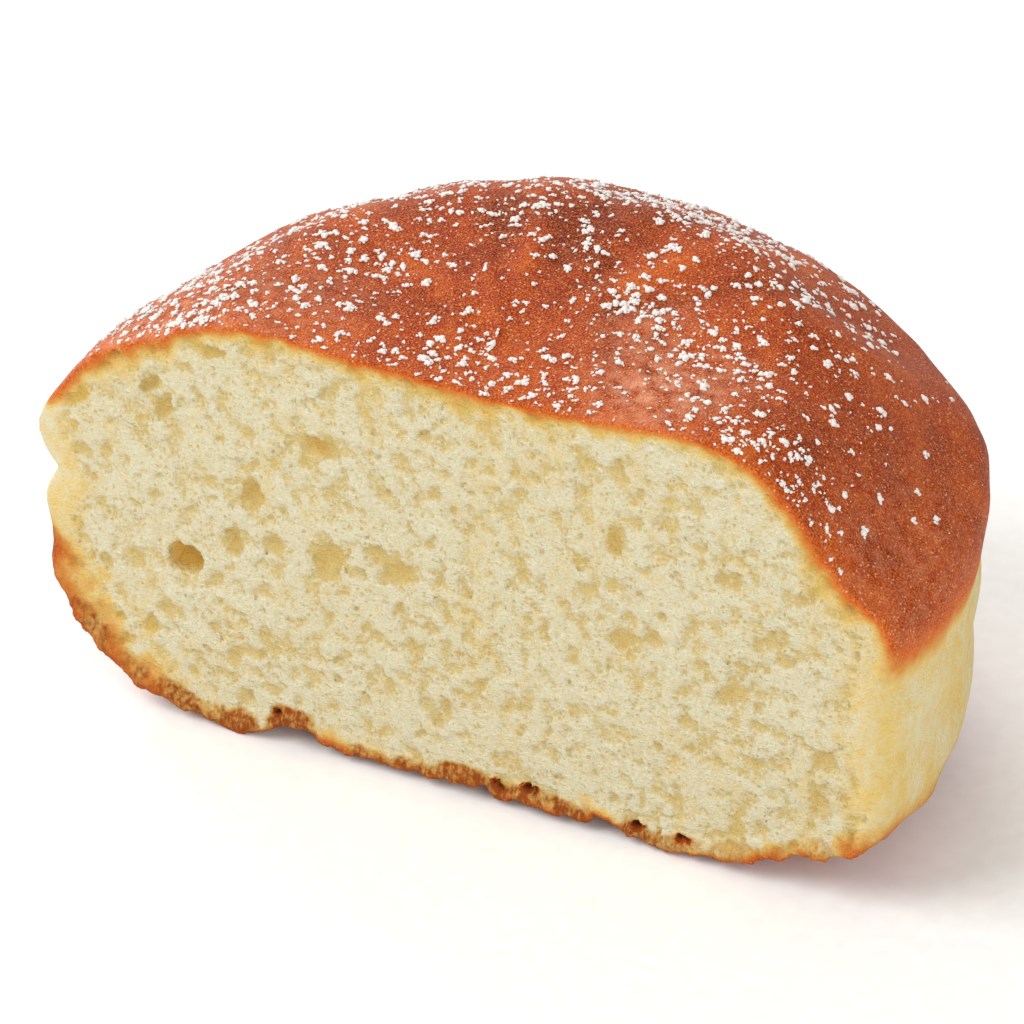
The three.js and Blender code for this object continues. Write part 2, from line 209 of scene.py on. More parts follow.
def length(name, description, default, low, high):
    """A property that holds a length in metres."""
    return FloatProperty(name=name, description=description, default=default, min=low, max=high,
                         unit="LENGTH", subtype="DISTANCE")


def number(name, description, default, low, high):
    """A property that counts things."""
    return IntProperty(name=name, description=description, default=default, min=low, max=high)


def colour(name, description, hex_code):
    """A property that holds a colour."""
    return FloatVectorProperty(name=name, description=description, default=linear(hex_code), min=0, max=1,
                               size=3, subtype="COLOR")


class BeignetSizes(bpy.types.PropertyGroup):
    """Sizes of the bun and of what lies on it."""

    plan_radius: length("Plan Radius", "Mean radius of the bun seen from above", 0.0464, 0.03, 0.06)
    heart_height: length("Widest Height", "Height at which the bun is widest", 0.0192, 0.01, 0.03)
    dome_rise: length("Dome Rise", "Rise of the dome above the widest height", 0.0274, 0.015, 0.04)
    cut_ahead: length("Cut Ahead", "How far in front of the bun's axis the knife went", 0.0086, 0.0, 0.02)
    crumb_step: length("Crumb Step", "Finest step of the modelled crumb", 0.00024, 0.0002, 0.0006)
    fine_bubbles: number("Fine Bubbles", "Fine bubbles that the knife opened", 4200, 0, 12000)
    clumps: number("Sugar Clumps", "Clumps of powdered sugar on the dome", 2200, 80, 2600)
    specks: number("Sugar Specks", "Single specks of powdered sugar on the dome", 600, 0, 20000)


class BeignetColours(bpy.types.PropertyGroup):
    """Colours of the dough as it browns, of the sugar and of the floor."""

    crumb: colour("Crumb", "Unbrowned crumb", "D6D0B6")
    collar: colour("Collar", "Pale collar", "D8BC76")
    golden: colour("Golden", "First browning", "CE8C42")
    orange: colour("Orange", "Orange-brown crust", "C75C20")
    brown: colour("Brown", "Brown crust", "A43A16")
    dark: colour("Dark", "Darkest crust", "781F0C")
    sugar: colour("Sugar", "Powdered sugar", "EBE8E4")
    floor: colour("Floor", "Pale studio floor", "F4F3F1")


def seeded(seed):
    """A draw of evenly spread numbers from 0 to 1 that come out as they do for the solid."""
    state = seed & 0xFFFFFFFF

    def draw():
        nonlocal state
        state = (state + 0x6D2B79F5) & 0xFFFFFFFF
        t = ((state ^ (state >> 15)) * (1 | state)) & 0xFFFFFFFF
        t = ((t + (((t ^ (t >> 7)) * (61 | t)) & 0xFFFFFFFF)) & 0xFFFFFFFF) ^ t
        return (t ^ (t >> 14)) / 4294967296

    return draw


def bell(at, middle, width):
    """A soft bump, 1 at its middle."""
    return np.exp(-(((at - middle) / width) ** 2))


def ease(at, low, high):
    """A smooth step from 0 to 1."""
    t = np.clip((at - low) / (high - low), 0, 1)
    return t * t * (3 - 2 * t)


def weigh(shares, *parts):
    """Sum of parts, each times its share."""
    return sum(share * part for share, part in zip(shares, parts))


def soft_least(a, b, blend):
    """The lesser of two distances, with the edge between them rounded."""
    t = np.clip(0.5 + 0.5 * (a - b) / blend, 0, 1)
    return a + (b - a) * t - blend * t * (1 - t)


def halve(low, high, test, steps):
    """Narrows the span in which a test turns true, and gives back both its ends."""
    for _ in range(steps):
        middle = (low + high) / 2
        passed = test(middle)
        high = np.where(passed, middle, high)
        low = np.where(passed, low, middle)
    return low, high


def any_direction(draw):
    """A unit direction, as likely as any other."""
    z = 2 * draw() - 1
    turn = 2 * math.pi * draw()
    flat = math.sqrt(1 - z * z)
    return flat * math.cos(turn), flat * math.sin(turn), z


def wave_set(count, shortest, longest, seed):
    """Plane waves in all directions, which add up to an uneven relief between about -1 and 1."""
    draw = seeded(seed)
    waves = []
    for _ in range(count):
        length = shortest + (longest - shortest) * draw()
        way = np.array(any_direction(draw)) * (2 * math.pi / length)
        waves.append((way, 2 * math.pi * draw()))
    return waves


def relief(waves, p):
    """Height of a set of waves at points."""
    return sum(np.sin(p @ way + phase) for way, phase in waves) / math.sqrt(len(waves))


DOME_WAVES = wave_set(7, 13, 30, 11)
WRINKLE_WAVES = wave_set(7, 5, 9, 23)
SUGAR_WAVES = wave_set(6, 14, 34, 37)
DIMPLE_WAVES = wave_set(9, 4, 9, 53)
FOLD_WAVES = wave_set(9, 2.2, 3.8, 61)


def pleats(p):
    """Height of the shallow pleats of the dome at points."""
    turn = np.arctan2(p[..., 1], p[..., 0])
    fade = ease(np.hypot(p[..., 0], p[..., 1]), *PLEAT_RADII) * ease(p[..., 2], *PLEAT_HEIGHTS)
    return fade * sum(out * bell(turn, at, spread) for at, spread, out in PLEATS)


class Form:
    """The bun's form in millimetres about its own axis."""

    def __init__(self, sizes):
        self.plan = sizes.plan_radius / MM
        self.heart = np.array([0, 0, sizes.heart_height / MM])
        self.rise = sizes.dome_rise / MM
        self.cut = -sizes.cut_ahead / MM

    def lift(self, x, y):
        """Height of the underside over the table."""
        near = bell(y, self.cut, EDGE_REACH)
        p = np.stack([x, y, np.zeros_like(x)], -1)
        lift = EDGE_LIFT + EDGE_WRINKLE * (relief(WRINKLE_WAVES, p) + relief(FOLD_WAVES, p))
        lift = lift + CURL * np.maximum(0, np.minimum(x, CURL_TO_X) - CURL_FROM_X)
        for at, width, up in FOOT_SWELLS:
            lift = lift + up * bell(x, at, width)
        return np.maximum(0, lift * near - FLAT_BELOW)

    @staticmethod
    def swells(x, y, turn, level, flat):
        """Departures of the sides and of the dome from an even bun."""
        right = flat * ease(x, *SIDES)
        height, width, out = RIGHT_SLUMP
        total = out * np.clip(0.5 - 0.6 * y, 0.2, 1) * right * bell(level, height, width)
        left = flat * ease(-x, *SIDES)
        for side, table in ((right, RIGHT_SWELLS), (left, LEFT_SWELLS)):
            for height, width, out in table:
                total = total + out * side * bell(level, height, width)
        for at, spread, height, width, out in DOME_SWELLS:
            total = total + out * bell(turn, at, spread) * bell(level, height, width)
        return total

    def radius(self, d):
        """Distance from the bun's heart to its surface along unit directions."""
        x, y, z = d[..., 0], d[..., 1], d[..., 2]
        flat = np.hypot(x, y)
        turn = np.arctan2(y, x)
        plan = self.plan + sum(c * np.cos(n * turn) + s * np.sin(n * turn) for n, c, s in PLAN_WAVES)
        up = z > 0
        rise = np.where(up, self.rise + DOME_LEAN_BACK * y, BASE_DEPTH)
        power = np.where(up, DOME_POWER, BASE_POWER)
        r = ((flat / plan) ** power + (np.abs(z) / rise) ** power) ** (-1 / power)
        r = r + SHOULDER_SWELL * bell(r * flat, SHOULDER_RADIUS, SHOULDER_WIDTH) * np.clip(2 * z, 0, 1)
        p = d * r[..., None]
        height = self.heart[2] + p[..., 2]
        from_crown = np.hypot(p[..., 0], p[..., 1] - CROWN_Y)
        r = r - flat * GROOVE_DEPTH * bell(height, GROOVE_HEIGHT, GROOVE_WIDTH)
        r = r + flat * LIP_SWELL * bell(height, GROOVE_HEIGHT + LIP_ABOVE + LIP_CLIMB * x, LIP_WIDTH)
        r = r + CROWN_SWELL * bell(from_crown, 0, CROWN_WIDTH) * np.clip(z, 0, 1)
        lumps = DOME_LUMP * relief(DOME_WAVES, p) + DIMPLE * relief(DIMPLE_WAVES, p)
        r = r + lumps * ease(height, *DOME_LUMP_HEIGHTS)
        r = r + WRINKLE * relief(WRINKLE_WAVES, p) * (1 - ease(height, *WRINKLE_HEIGHTS))
        r = r + self.swells(x, y, turn, self.heart[2] + r * z, flat)
        r = r + FOLD * relief(FOLD_WAVES, p) * (1 - ease(height, *FOLD_HEIGHTS)) + pleats(p + self.heart)
        fall = np.maximum(1e-6, -z)
        down = self.heart[2] / fall
        base = (self.heart[2] - self.lift(down * x, down * y)) / fall
        return np.where(z < 0, np.minimum(r, base), r)

    def surface(self, d):
        """Points of the surface along unit directions from the heart."""
        return d * self.radius(d)[..., None] + self.heart

    def depth(self, p):
        """How far points lie inside the crust, measured towards the heart."""
        q = p - self.heart
        reach = np.maximum(1e-6, np.linalg.norm(q, axis=-1))
        return self.radius(q / reach[..., None]) - reach

    def normal(self, p, step=0.05):
        """Outward normals at points of the surface."""
        slope = [self.depth(p - step * axis) - self.depth(p + step * axis) for axis in np.eye(3)]
        n = np.stack(slope, -1)
        return n / np.linalg.norm(n, axis=-1)[..., None]

    def under_edge(self, x):
        """Heights at which the cut meets the underside of the bun."""
        def inside(z):
            return self.depth(np.stack([x, np.full_like(x, self.cut), z], -1)) > 0

        return halve(np.full_like(x, -1.0), np.full_like(x, 19.0), inside, 30)[1]


def edge_lobes(form):
    """The fried edge rolls up in lobes along the underside: centre, radius, run and stretch of each."""
    draw = seeded(15)
    lobes = []
    for at in np.arange(LOBES_FROM_X, LOBES_TO_X, LOBE_STEP):
        x = at + LOBE_SPREAD * (draw() - 0.5)
        radius = LOBE_RADIUS + LOBE_VARIES * draw() + LOBE_GROWS_LEFT * ease(-x, 8, 34)
        stretch = 1.3 + 0.7 * draw()
        back = 0.25 + 0.35 * draw()
        left, z, right = form.under_edge(np.array([x - radius, x, x + radius]))
        along = np.array([2 * radius, 0, right - left])
        along /= np.linalg.norm(along)
        inward = np.array([-along[2], 0, along[0]])
        centre = np.array([x, form.cut + back, z]) + LOBE_SEAT * radius * inward
        lobes.append((centre, radius, along, stretch))
    return lobes


def one_lobe(points, centre, radius, along, stretch):
    """Distance from points to a lobe's surface."""
    q = points - centre
    run = q @ along
    q = q - (run * (1 - 1 / stretch))[..., None] * along
    return np.linalg.norm(q, axis=-1) - radius


def lobe_gap(points, lobes, farthest=9.0):
    """Distance from points to the nearest lobe's surface."""
    gap = np.full(points.shape[:-1], farthest)
    for lobe in lobes:
        gap = np.minimum(gap, one_lobe(points, *lobe))
    return gap


def corner_radius(x, z):
    """How softly the cut turns into the crust."""
    pale = bell(z, *CORNER_HEIGHTS)
    return CORNER + pale * (CORNER_RIGHT * ease(x, *CORNER_ENDS) + CORNER_LEFT * ease(-x, *CORNER_ENDS))


def soft_corner(form, p, outside):
    """Distance outside the bun without its bubbles, with the knife's corner rounded."""
    knife = form.cut - p[..., 1]
    return -soft_least(-knife, -outside, corner_radius(p[..., 0], p[..., 2]))


def pale_end(x, z):
    """How far points lie in the unbrowned collar at either end of the cut, where its smooth skin shows."""
    return bell(z, *COLLAR_HEIGHTS) * ease(np.abs(x), *COLLAR_ENDS)


def small_bubbles(form):
    """The middling bubbles, where the solid has them, in rows like those of the largest."""
    draw = seeded(5)
    taken = [(x, z, long) for x, z, long, *_ in OPEN_BUBBLES]
    found = []
    while len(found) < SMALL_BUBBLES:
        x = (2 * draw() - 1) * form.plan
        z = 2 * draw() * form.heart[2] * 1.25
        size = SMALL_BUBBLE_MIN + (SMALL_BUBBLE_MAX - SMALL_BUBBLE_MIN) * draw() ** 2
        lean = 180 * draw()
        clear = all(math.hypot(t[0] - x, t[1] - z) > t[2] + size + BUBBLE_CLEAR_OF_BUBBLE for t in taken)
        if clear and form.depth(np.array([x, form.cut, z])) > BUBBLE_CLEAR_OF_CRUST:
            taken.append((x, z, size))
            found.append((x, z, size, SMALL_BUBBLE_WIDTH * size, lean, SMALL_BUBBLE_SHARE))
    return found


def large_bubbles(form, rng):
    """The largest and middling bubbles, each with smaller ones that broke into it."""
    rows = []
    for x, z, long, wide, lean, share in OPEN_BUBBLES + tuple(small_bubbles(form)):
        a = math.radians(lean)
        rows.append((x, form.cut + 0.15 * share * wide, z, long, 0.95 * share * wide, wide, a))
        for _ in range(3 if long > 1 else 1):
            way = rng.uniform(0, 2 * math.pi)
            off = rng.uniform(0.4, 0.75)
            part = rng.uniform(0.35, 0.55)
            du, dw = off * long * math.cos(way), off * wide * math.sin(way)
            back = rng.uniform(0, 0.5) * share * wide
            rows.append((x + du * math.cos(a) - dw * math.sin(a), form.cut + back,
                         z + du * math.sin(a) + dw * math.cos(a),
                         part * long, part * share * wide, part * wide, a + rng.uniform(-0.6, 0.6)))
    return np.array(rows)


def fine_bubbles(form, count, lobes, rng):
    """The fine bubbles over the whole cut."""
    tries = 3 * count
    spots = np.c_[rng.uniform(-47, 47, tries), np.full(tries, form.cut), rng.uniform(0, 48, tries)]
    depth = form.depth(spots)
    clear = FINE_CLEAR + FINE_CLEAR_AT_END * pale_end(spots[:, 0], spots[:, 2])
    keep = (depth > clear) & (lobe_gap(spots, lobes) > FINE_CLEAR_OF_LOBE)
    spots, depth = spots[keep][:count], depth[keep][:count]
    size = FINE_MIN + FINE_SPREAD * rng.random(len(spots)) ** FINE_POWER
    size = np.minimum(size, 0.25 * depth + 0.08)
    thin = rng.uniform(0.55, 0.95, len(spots))
    shallow = rng.uniform(0.3, 0.6, len(spots)) * size
    back = rng.uniform(-0.6, 0.3, len(spots)) * shallow
    lean = rng.uniform(0, math.pi, len(spots))
    along = np.arctan2(spots[:, 0] / form.plan ** 2, (form.heart[2] - spots[:, 2]) / form.rise ** 2)
    lean = np.where(depth < DRAWN_OUT_BELOW, along + rng.normal(0, 0.5, len(spots)), lean)
    return np.c_[spots[:, 0], form.cut + back, spots[:, 2], size, shallow, thin * size, lean]


def edge_pits(form):
    """Deep holes torn just above the fried edge."""
    rng = np.random.default_rng(27)
    count = len(EDGE_PITS_X)
    x = np.array(EDGE_PITS_X) + rng.uniform(-0.3, 0.3, count)
    z = form.under_edge(x) + rng.uniform(1.2, 1.8, count)
    long = rng.uniform(0.3, 0.7, count)
    lean = rng.uniform(-0.3, 0.5, count)
    behind, deep = np.full(count, form.cut + 0.1), np.full(count, EDGE_PIT_DEPTH)
    return np.c_[x, behind, z, long, deep, EDGE_PIT_FLATNESS * long, lean]


def all_bubbles(form, sizes, lobes):
    """Rows of all opened bubbles: centre, half length, depth and width, and lean in radians."""
    rng = np.random.default_rng(8)
    large = large_bubbles(form, rng)
    return np.vstack([large, fine_bubbles(form, sizes.fine_bubbles, lobes, rng), edge_pits(form)])


class CrumbGrid:
    """A fine grid of points over the front slab of the bun, in millimetres."""

    def __init__(self, form, step):
        low = (-form.plan - SLAB_BESIDE, form.cut - SLAB_BEFORE, -SLAB_UNDER)
        high = (form.plan + SLAB_BESIDE, form.cut + SLAB_DEPTH, SLAB_TOP)
        self.step = step
        self.low = np.array(low)
        self.axes = [np.arange(a, b, step) for a, b in zip(low, high)]
        self.shape = tuple(len(axis) for axis in self.axes)

    def noise(self, spacing, seed):
        """Smooth noise between about -1 and 1, with knots a distance apart along each axis."""
        rng = np.random.default_rng(seed)
        cells = np.broadcast_to(np.array(spacing) / self.step, 3)
        knots = rng.uniform(-1, 1, [int(n / cell) + 3 for n, cell in zip(self.shape, cells)])
        knots = knots.astype(np.float32)
        for axis, n in enumerate(self.shape):
            at = np.arange(n) / cells[axis]
            low = at.astype(int)
            t = (at - low).astype(np.float32)
            t = t * t * (3 - 2 * t)
            t = t.reshape([-1 if k == axis else 1 for k in range(3)])
            knots = np.take(knots, low, axis) * (1 - t) + np.take(knots, low + 1, axis) * t
        return knots

    def window(self, centre, span):
        """Index ranges of the grid around a point."""
        near = [(int((v - span - o) / self.step), int((v + span - o) / self.step) + 2)
                for v, o in zip(centre, self.low)]
        return tuple(slice(max(0, first), max(0, last)) for first, last in near)


def cut_bun(form, grid, torn):
    """Distance outside the bun at the points of a grid, as the knife left it."""
    x, y, z = grid.axes
    wide, high = np.meshgrid(x, z, indexing="ij")
    field = np.empty(grid.shape, np.float32)
    for k, at in enumerate(y):
        p = np.stack([wide, np.full(wide.shape, at), high], -1)
        outside = (-RAY_SHARE * form.depth(p)).astype(np.float32)
        field[:, k, :] = soft_corner(form, p, outside)
    near = np.clip(2 - np.abs(form.cut - y), 0, 1).astype(np.float32)[None, :, None]
    rough = (1 - SMOOTH_END * pale_end(wide, high)).astype(np.float32)[:, None, :]
    field += near * rough * sum(height * torn[name] for name, height in CUT_RELIEF.items())
    return field


def roll_edge(field, grid, lobes, torn):
    """Joins the lobes of the fried edge softly to the bun."""
    for lobe in lobes:
        cut = grid.window(lobe[0], 2.0 * lobe[1] + 1.0)
        spots = np.stack(np.meshgrid(*(axis[c] for axis, c in zip(grid.axes, cut)), indexing="ij"), -1)
        gap = one_lobe(spots, *lobe)
        for name, height in LOBE_RELIEF.items():
            gap = gap + height * torn[name][cut]
        field[cut] = soft_least(field[cut], gap, LOBE_BLEND)


def pore_walls(grid, bubbles, torn):
    """Distance outside the opened bubbles at the points of a grid, with their ragged walls."""
    x, y, z = grid.axes
    sideways, upwards = (
        sum(strength * grid.noise(spacing, seed) for (spacing, strength), seed in zip(PORE_BEND, seeds))
        for seeds in PORE_BEND_SEEDS)
    hollow = np.zeros(grid.shape, np.float32)
    for cx, cy, cz, a, b, c, lean in bubbles:
        cut = grid.window((cx, cy, cz), max(a, b, c) + 0.45)
        dx = (x[cut[0]] - cx)[:, None, None] + sideways[cut]
        dy = (y[cut[1]] - cy)[None, :, None]
        dz = (z[cut[2]] - cz)[None, None, :] + upwards[cut]
        u = dx * math.cos(lean) + dz * math.sin(lean)
        w = dz * math.cos(lean) - dx * math.sin(lean)
        gap = (np.sqrt((u / a) ** 2 + (dy / b) ** 2 + (w / c) ** 2) - 1) * min(a, b, c)
        hollow[cut] += np.exp(-PORE_SHARPNESS * np.maximum(gap, -1))
    walls = -np.log(np.maximum(hollow, 1e-9)) / PORE_SHARPNESS
    for name, height in PORE_RELIEF.items():
        walls = walls + height * torn[name]
    return walls


def crumb_slab(form, sizes, lobes):
    """Points and quads of the front slab: the opened crumb, and the crust just behind its edge."""
    grid = CrumbGrid(form, sizes.crumb_step / MM)
    torn = {name: grid.noise(spacing, seed) for name, (spacing, seed) in TORN_NOISE.items()}
    torn["dust"] = np.random.default_rng(DUST_SEED).uniform(-1, 1, grid.shape).astype(np.float32)
    field = cut_bun(form, grid, torn)
    roll_edge(field, grid, lobes, torn)
    table_top = grid.axes[2].astype(np.float32)
    field = np.maximum(field, -table_top)
    field = np.maximum(field, -pore_walls(grid, all_bubbles(form, sizes, lobes), torn))
    field[:, -1, :] = grid.step
    volume = openvdb.FloatGrid(background=grid.step)
    volume.copyFromArray(np.ascontiguousarray(field))
    points, quads = volume.convertToQuads(isovalue=0.0)
    points = points * grid.step + grid.low
    in_slab = points[:, 1] < grid.axes[1][-3]
    return points, quads[in_slab[quads].all(axis=1)]


def rim_loop(quads):
    """The vertices along the longest open edge of a quad sheet, in order."""
    edges = np.vstack([quads[:, [k, (k + 1) % 4]] for k in range(4)])
    pairs = set(map(tuple, edges))
    after = {a: b for a, b in pairs if (b, a) not in pairs}
    loops = []
    while after:
        start = next(iter(after))
        loop = [start]
        at = after.pop(start)
        while at != start:
            loop.append(at)
            at = after.pop(at)
        loops.append(loop)
    return max(loops, key=len)


def settle_on_crust(form, points, lobes):
    """Moves the slab's points behind the corner onto the crust itself."""
    soft = corner_radius(points[:, 0], points[:, 2])
    behind = points[:, 1] > form.cut + soft + 0.2
    outer = (np.abs(form.depth(points)) < 0.4) & behind & (lobe_gap(points, lobes) > 0.6)
    q = points[outer] - form.heart
    points[outer] = form.surface(q / np.linalg.norm(q, axis=1)[:, None])


def crust_rings(form):
    """Rows of points over the crust from the slab's rim to the back of the bun, and the hindmost point."""
    turn = np.linspace(0, 2 * math.pi, AROUND, endpoint=False)

    def point(polar):
        d = np.stack([np.sin(polar) * np.cos(turn), np.cos(polar), np.sin(polar) * np.sin(turn)], -1)
        return form.surface(d)

    def ahead(polar):
        return point(polar)[:, 1] < form.cut + SLAB_DEPTH

    rim, _ = halve(np.zeros(AROUND), np.full(AROUND, math.pi), ahead, 40)
    return np.array([point(rim * (1 - k / RINGS)) for k in range(RINGS)]), point(np.zeros(AROUND))[0]


def ring_faces(base):
    """Quads between the rings of the crust, and triangles about its hindmost point."""
    faces = []
    for a in range(base, base + (RINGS - 1) * AROUND, AROUND):
        for i in range(AROUND):
            j = (i + 1) % AROUND
            faces.append((a + i, a + j, a + AROUND + j, a + AROUND + i))
    last = base + (RINGS - 1) * AROUND
    tip = last + AROUND
    return faces + [(last + i, last + (i + 1) % AROUND, tip) for i in range(AROUND)]


def joining_strip(form, points, rim, ring):
    """Triangles that join the slab's rim to the first ring of the crust behind it."""
    def angle(v):
        q = points[v] - form.heart
        return math.atan2(q[2], q[0]) % (2 * math.pi)

    first = min(range(len(rim)), key=lambda k: angle(rim[k]))
    rim = rim[first:] + rim[:first]
    if angle(rim[len(rim) // 4]) > angle(rim[len(rim) // 2]):
        rim = [rim[0]] + rim[:0:-1]
    a = [angle(v) for v in rim] + [2 * math.pi + angle(rim[0])]
    b = [angle(v) for v in ring] + [2 * math.pi + angle(ring[0])]
    rim, ring = rim + [rim[0]], ring + [ring[0]]
    i = j = 0
    faces = []
    while i < len(rim) - 1 or j < len(ring) - 1:
        if j == len(ring) - 1 or (i < len(rim) - 1 and a[i + 1] <= b[j + 1]):
            faces.append((rim[i], rim[i + 1], ring[j]))
            i += 1
        else:
            faces.append((rim[i], ring[j + 1], ring[j]))
            j += 1
    return faces


def node(tree, kind, inputs=(), output=0, **settings):
    """Adds a shader node, links or sets its inputs by name or place, and gives back one of its outputs."""
    made = tree.nodes.new("ShaderNode" + kind)
    for key, value in settings.items():
        setattr(made, key, value)
    for key, value in inputs.items() if isinstance(inputs, dict) else enumerate(inputs):
        if isinstance(value, bpy.types.NodeSocket):
            tree.links.new(value, made.inputs[key])
        else:
            made.inputs[key].default_value = value
    return made.outputs[output] if made.outputs else None


def blank_material(name):
    """A material without nodes, and the node function for it."""
    material = bpy.data.materials.new(name)
    material.use_nodes = True
    material.node_tree.nodes.clear()
    return material, partial(node, material.node_tree)


def mottle(add, place, spacing, detail, low=0.0, high=1.0):
    """An uneven pattern with knots a number of millimetres apart, which runs from low to high."""
    raw = add("TexNoise", {"Vector": place, "Scale": 1 / (spacing * MM), "Detail": detail})
    return add("MapRange", (raw, 0.3, 0.7, low, high))


def dough_material(colours):
    """Fried yeast dough: a dull open crumb, a smooth pale collar and a satin, finely blistered crust."""
    material, add = blank_material("fried_yeast_dough_cut_and_browned")
    place = add("TexCoord", output="Object")
    spots = partial(mottle, add, place)
    browning, pit, sugar_film_and_sheen, toast, crumb = (
        add("Attribute", output="Fac", attribute_name=name)
        for name in ("browning", "pit", "sugar_film_and_sheen", "toast", "crumb"))
    # Frying browns unevenly: blotches of 9 mm, mottling of 1.6 and 1.2 mm, and upright streaks 3 mm apart.
    upright = add("VectorMath", (place, (1, 1, 0.3)), operation="MULTIPLY")
    uneven = add("Math", (spots(9, 2.0, 0.92, 1.08), spots(1.6, 3.0, -0.07, 0.07)), operation="ADD")
    streaks = mottle(add, upright, 3.0, 3.0, -0.04, 0.04)
    streaks = add("Math", (streaks, spots(1.2, 3.0, -0.04, 0.04)), operation="ADD")
    fried = add("Math", (browning, uneven, streaks), operation="MULTIPLY_ADD")
    fried = add("ValToRGB", (fried,))
    tints = ((0.0, colours.crumb), (0.14, colours.collar), (0.36, colours.golden), (0.56, colours.orange),
             (0.78, colours.brown), (1.0, colours.dark))
    stops = fried.node.color_ramp.elements
    while len(stops) < len(tints):
        stops.new(0.5)
    for stop, (at, tint) in zip(stops, tints):
        stop.position = at
        stop.color = (*tint, 1)
    # The crust is blistered in bumps of 0.19 mm. Their tops are golden, partly their own colour and partly
    # painted highlight, and the furrows between them are painted darker as shade.
    browned = add("MapRange", (browning, 0.3, 0.65))
    blister = spots(0.19, 1.5)
    furrow = add("MapRange", (blister, 0.0, 0.5, 0.55, 0.0))
    furrow = add("Math", (furrow, browned), operation="MULTIPLY")
    golden = add("MapRange", (blister, 0.45, 1.0, 0.0, 0.62))
    golden = add("Math", (golden, browned), operation="MULTIPLY")
    # Pale dots in cells of 0.45 mm are painted glints of light on the blisters.
    cells = {"Vector": place, "Scale": 1 / (0.45 * MM)}
    glint_cells = add("TexVoronoi", cells, "Distance")
    glint_dots = add("MapRange", (glint_cells, 0.12, 0.3, 0.8, 0.0))
    some = add("SeparateColor", (glint_cells.node.outputs["Color"],))
    some = add("Math", (some, spots(3.0, 2.0, 0.6, 1.0)), operation="MULTIPLY")
    some = add("MapRange", (some, 0.28, 0.5))
    for share in (some, browned):
        glint_dots = add("Math", (glint_dots, share), operation="MULTIPLY")
    # The underside lay longest in the oil: it is toasted in patches of 0.6 mm and ribbed about every 0.8 mm.
    toasted = mottle(add, upright, 0.4, 2.0, 0.0, 0.8)
    toasted = add("Math", (toasted, spots(0.6, 4.0, 0.1, 0.85)), operation="ADD")
    toasted = add("Math", (toast, toasted), operation="MULTIPLY")
    # The crumb is torn in cells of 0.45 mm, each open or shut.
    tear = add("TexNoise", {"Vector": place, "Scale": 1 / (0.3 * MM), "Detail": 2.0}, "Color")
    torn = add("VectorMath", (tear, (0.5 * MM,) * 3, place), operation="MULTIPLY_ADD")
    cell = add("TexVoronoi", {**cells, "Vector": torn}, "Distance")
    wide = add("MapRange", (cell, 0.2, 0.55, 1.0, 0.0))
    shut = add("SeparateColor", (cell.node.outputs["Color"],))
    shut = add("Math", (shut, spots(2.5, 2.0, 0.75, 0.35)), operation="SUBTRACT")
    open_cell = add("MapRange", (shut, 0.0, 0.4, 0.0, 0.7))
    for share in (wide, crumb):
        open_cell = add("Math", (open_cell, share), operation="MULTIPLY")
    # Open cells and the bubbles hold light in their walls and look golden, the more so the deeper they are.
    pale = add("MapRange", (browning, 0.1, 0.35, 1.0, 0.0))
    ragged = spots(0.35, 3.0, -0.5, 0.5)
    ragged = add("Math", (ragged, 0.3, pit), operation="MULTIPLY_ADD")
    shallow = add("MapRange", (ragged, 0.05, 0.38, 0.0, 0.62), interpolation_type="SMOOTHSTEP")
    deep = add("MapRange", (pit, 0.4, 1.2, 0.0, 0.38))
    hollow = add("Math", (shallow, deep), operation="ADD")
    hollow = add("Math", (hollow, open_cell), operation="MAXIMUM")
    hollow = add("Math", (hollow, pale), operation="MULTIPLY")
    deeper = add("Math", (deep, 2.6), operation="MULTIPLY")
    glow = add("Mix", {0: deeper, 6: linear("C8A848", 1), 7: linear("C89C4C", 1)}, 2, data_type="RGBA")
    # The crumb's walls are strands of 0.25 mm; the gaps between them are painted a little darker as shade.
    grain = spots(0.25, 2.0)
    strands = add("Math", (grain, -0.45, 0.45), operation="MULTIPLY_ADD")
    strands = add("Math", (strands, crumb), operation="MULTIPLY")
    # Bubbles in the browned edge are dark: browned, and painted darker as shade the deeper they go.
    burnt_and_shade = add("Math", (1.0, pale), operation="SUBTRACT")
    burnt_and_shade = add("Math", (burnt_and_shade, pit), operation="MULTIPLY")
    # Sugar that has drawn moisture from the crust shows as a thin pinkish film in patches of 1 to 2 mm; the
    # same pinkish mix paints the dome's sheen as a painted highlight.
    film_and_sheen = add("Math", (spots(1.3, 4.0, -0.1, 1.0), sugar_film_and_sheen), operation="MULTIPLY")
    film_and_sheen = add("Math", (film_and_sheen, 0.0), operation="MAXIMUM")
    # Tints in order: furrow shade, blister highlight, glints, toast, pore glow, strand shade, pit shade, film
    # and sheen.
    tinted = fried
    for share, tint, how in (
            (furrow, linear("A85E36", 1), "MULTIPLY"), (golden, linear("DE883C", 1), "MIX"),
            (glint_dots, linear("E6AC80", 1), "MIX"), (toasted, linear("90491C", 1), "MIX"),
            (hollow, glow, "MIX"), (strands, linear("E8D6A8", 1), "MULTIPLY"),
            (burnt_and_shade, linear("7E4230", 1), "MULTIPLY"), (film_and_sheen, linear("E8A07A", 1), "MIX")):
        tinted = add("Mix", {0: share, 6: tinted, 7: tint}, 2, data_type="RGBA", blend_type=how)
    # The relief goes from the strands and cells of the crumb over to the blisters of the crust.
    froth = add("Math", (grain, open_cell), operation="SUBTRACT")
    height = add("Mix", {0: browning, 2: froth, 3: blister}, data_type="FLOAT")
    bump = add("Bump", {"Strength": 0.9, "Distance": 0.16 * MM, "Height": height})
    rough = add("MapRange", (browning, 0.0, 0.7, 0.9, 0.5))
    shader = add("BsdfPrincipled", {"Base Color": tinted, "Roughness": rough, "IOR": 1.42,
                                    "Specular IOR Level": 0.08, "Normal": bump})
    add("OutputMaterial", (shader,))
    return material


